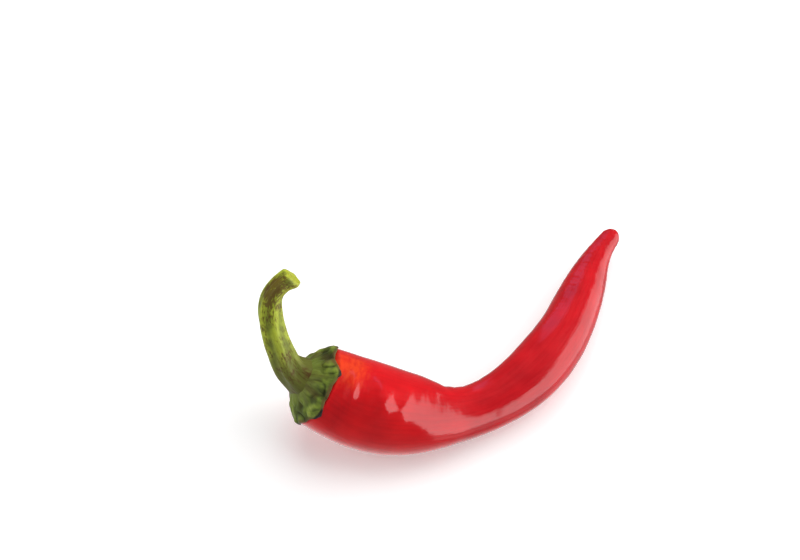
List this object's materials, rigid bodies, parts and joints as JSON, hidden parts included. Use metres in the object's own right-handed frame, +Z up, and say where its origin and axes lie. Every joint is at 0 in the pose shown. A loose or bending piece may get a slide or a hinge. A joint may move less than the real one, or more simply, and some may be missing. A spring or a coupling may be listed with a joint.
{
  "type": "chilli pepper",
  "caption": "Fresh red chilli pepper as picked: a glossy bent and tapering pod, a green toothed calyx and a hooked green stem, lying on its side.",
  "frame": {"origin": "middle of the object's box on the surface that it lies on", "axes": "+X along the chord from the calyx to the tip, -Y towards the outside of the bend, +Z up from the surface"},
  "size_m": [0.0968, 0.0467, 0.039],
  "materials": {
    "pod_skin": "gloss",
    "calyx_skin": "matte",
    "stem_skin": "satin"
  },
  "bodies": {
    "root": {"pod": "pod_skin", "calyx": "calyx_skin", "stem": "stem_skin"}
  },
  "joints": []
}
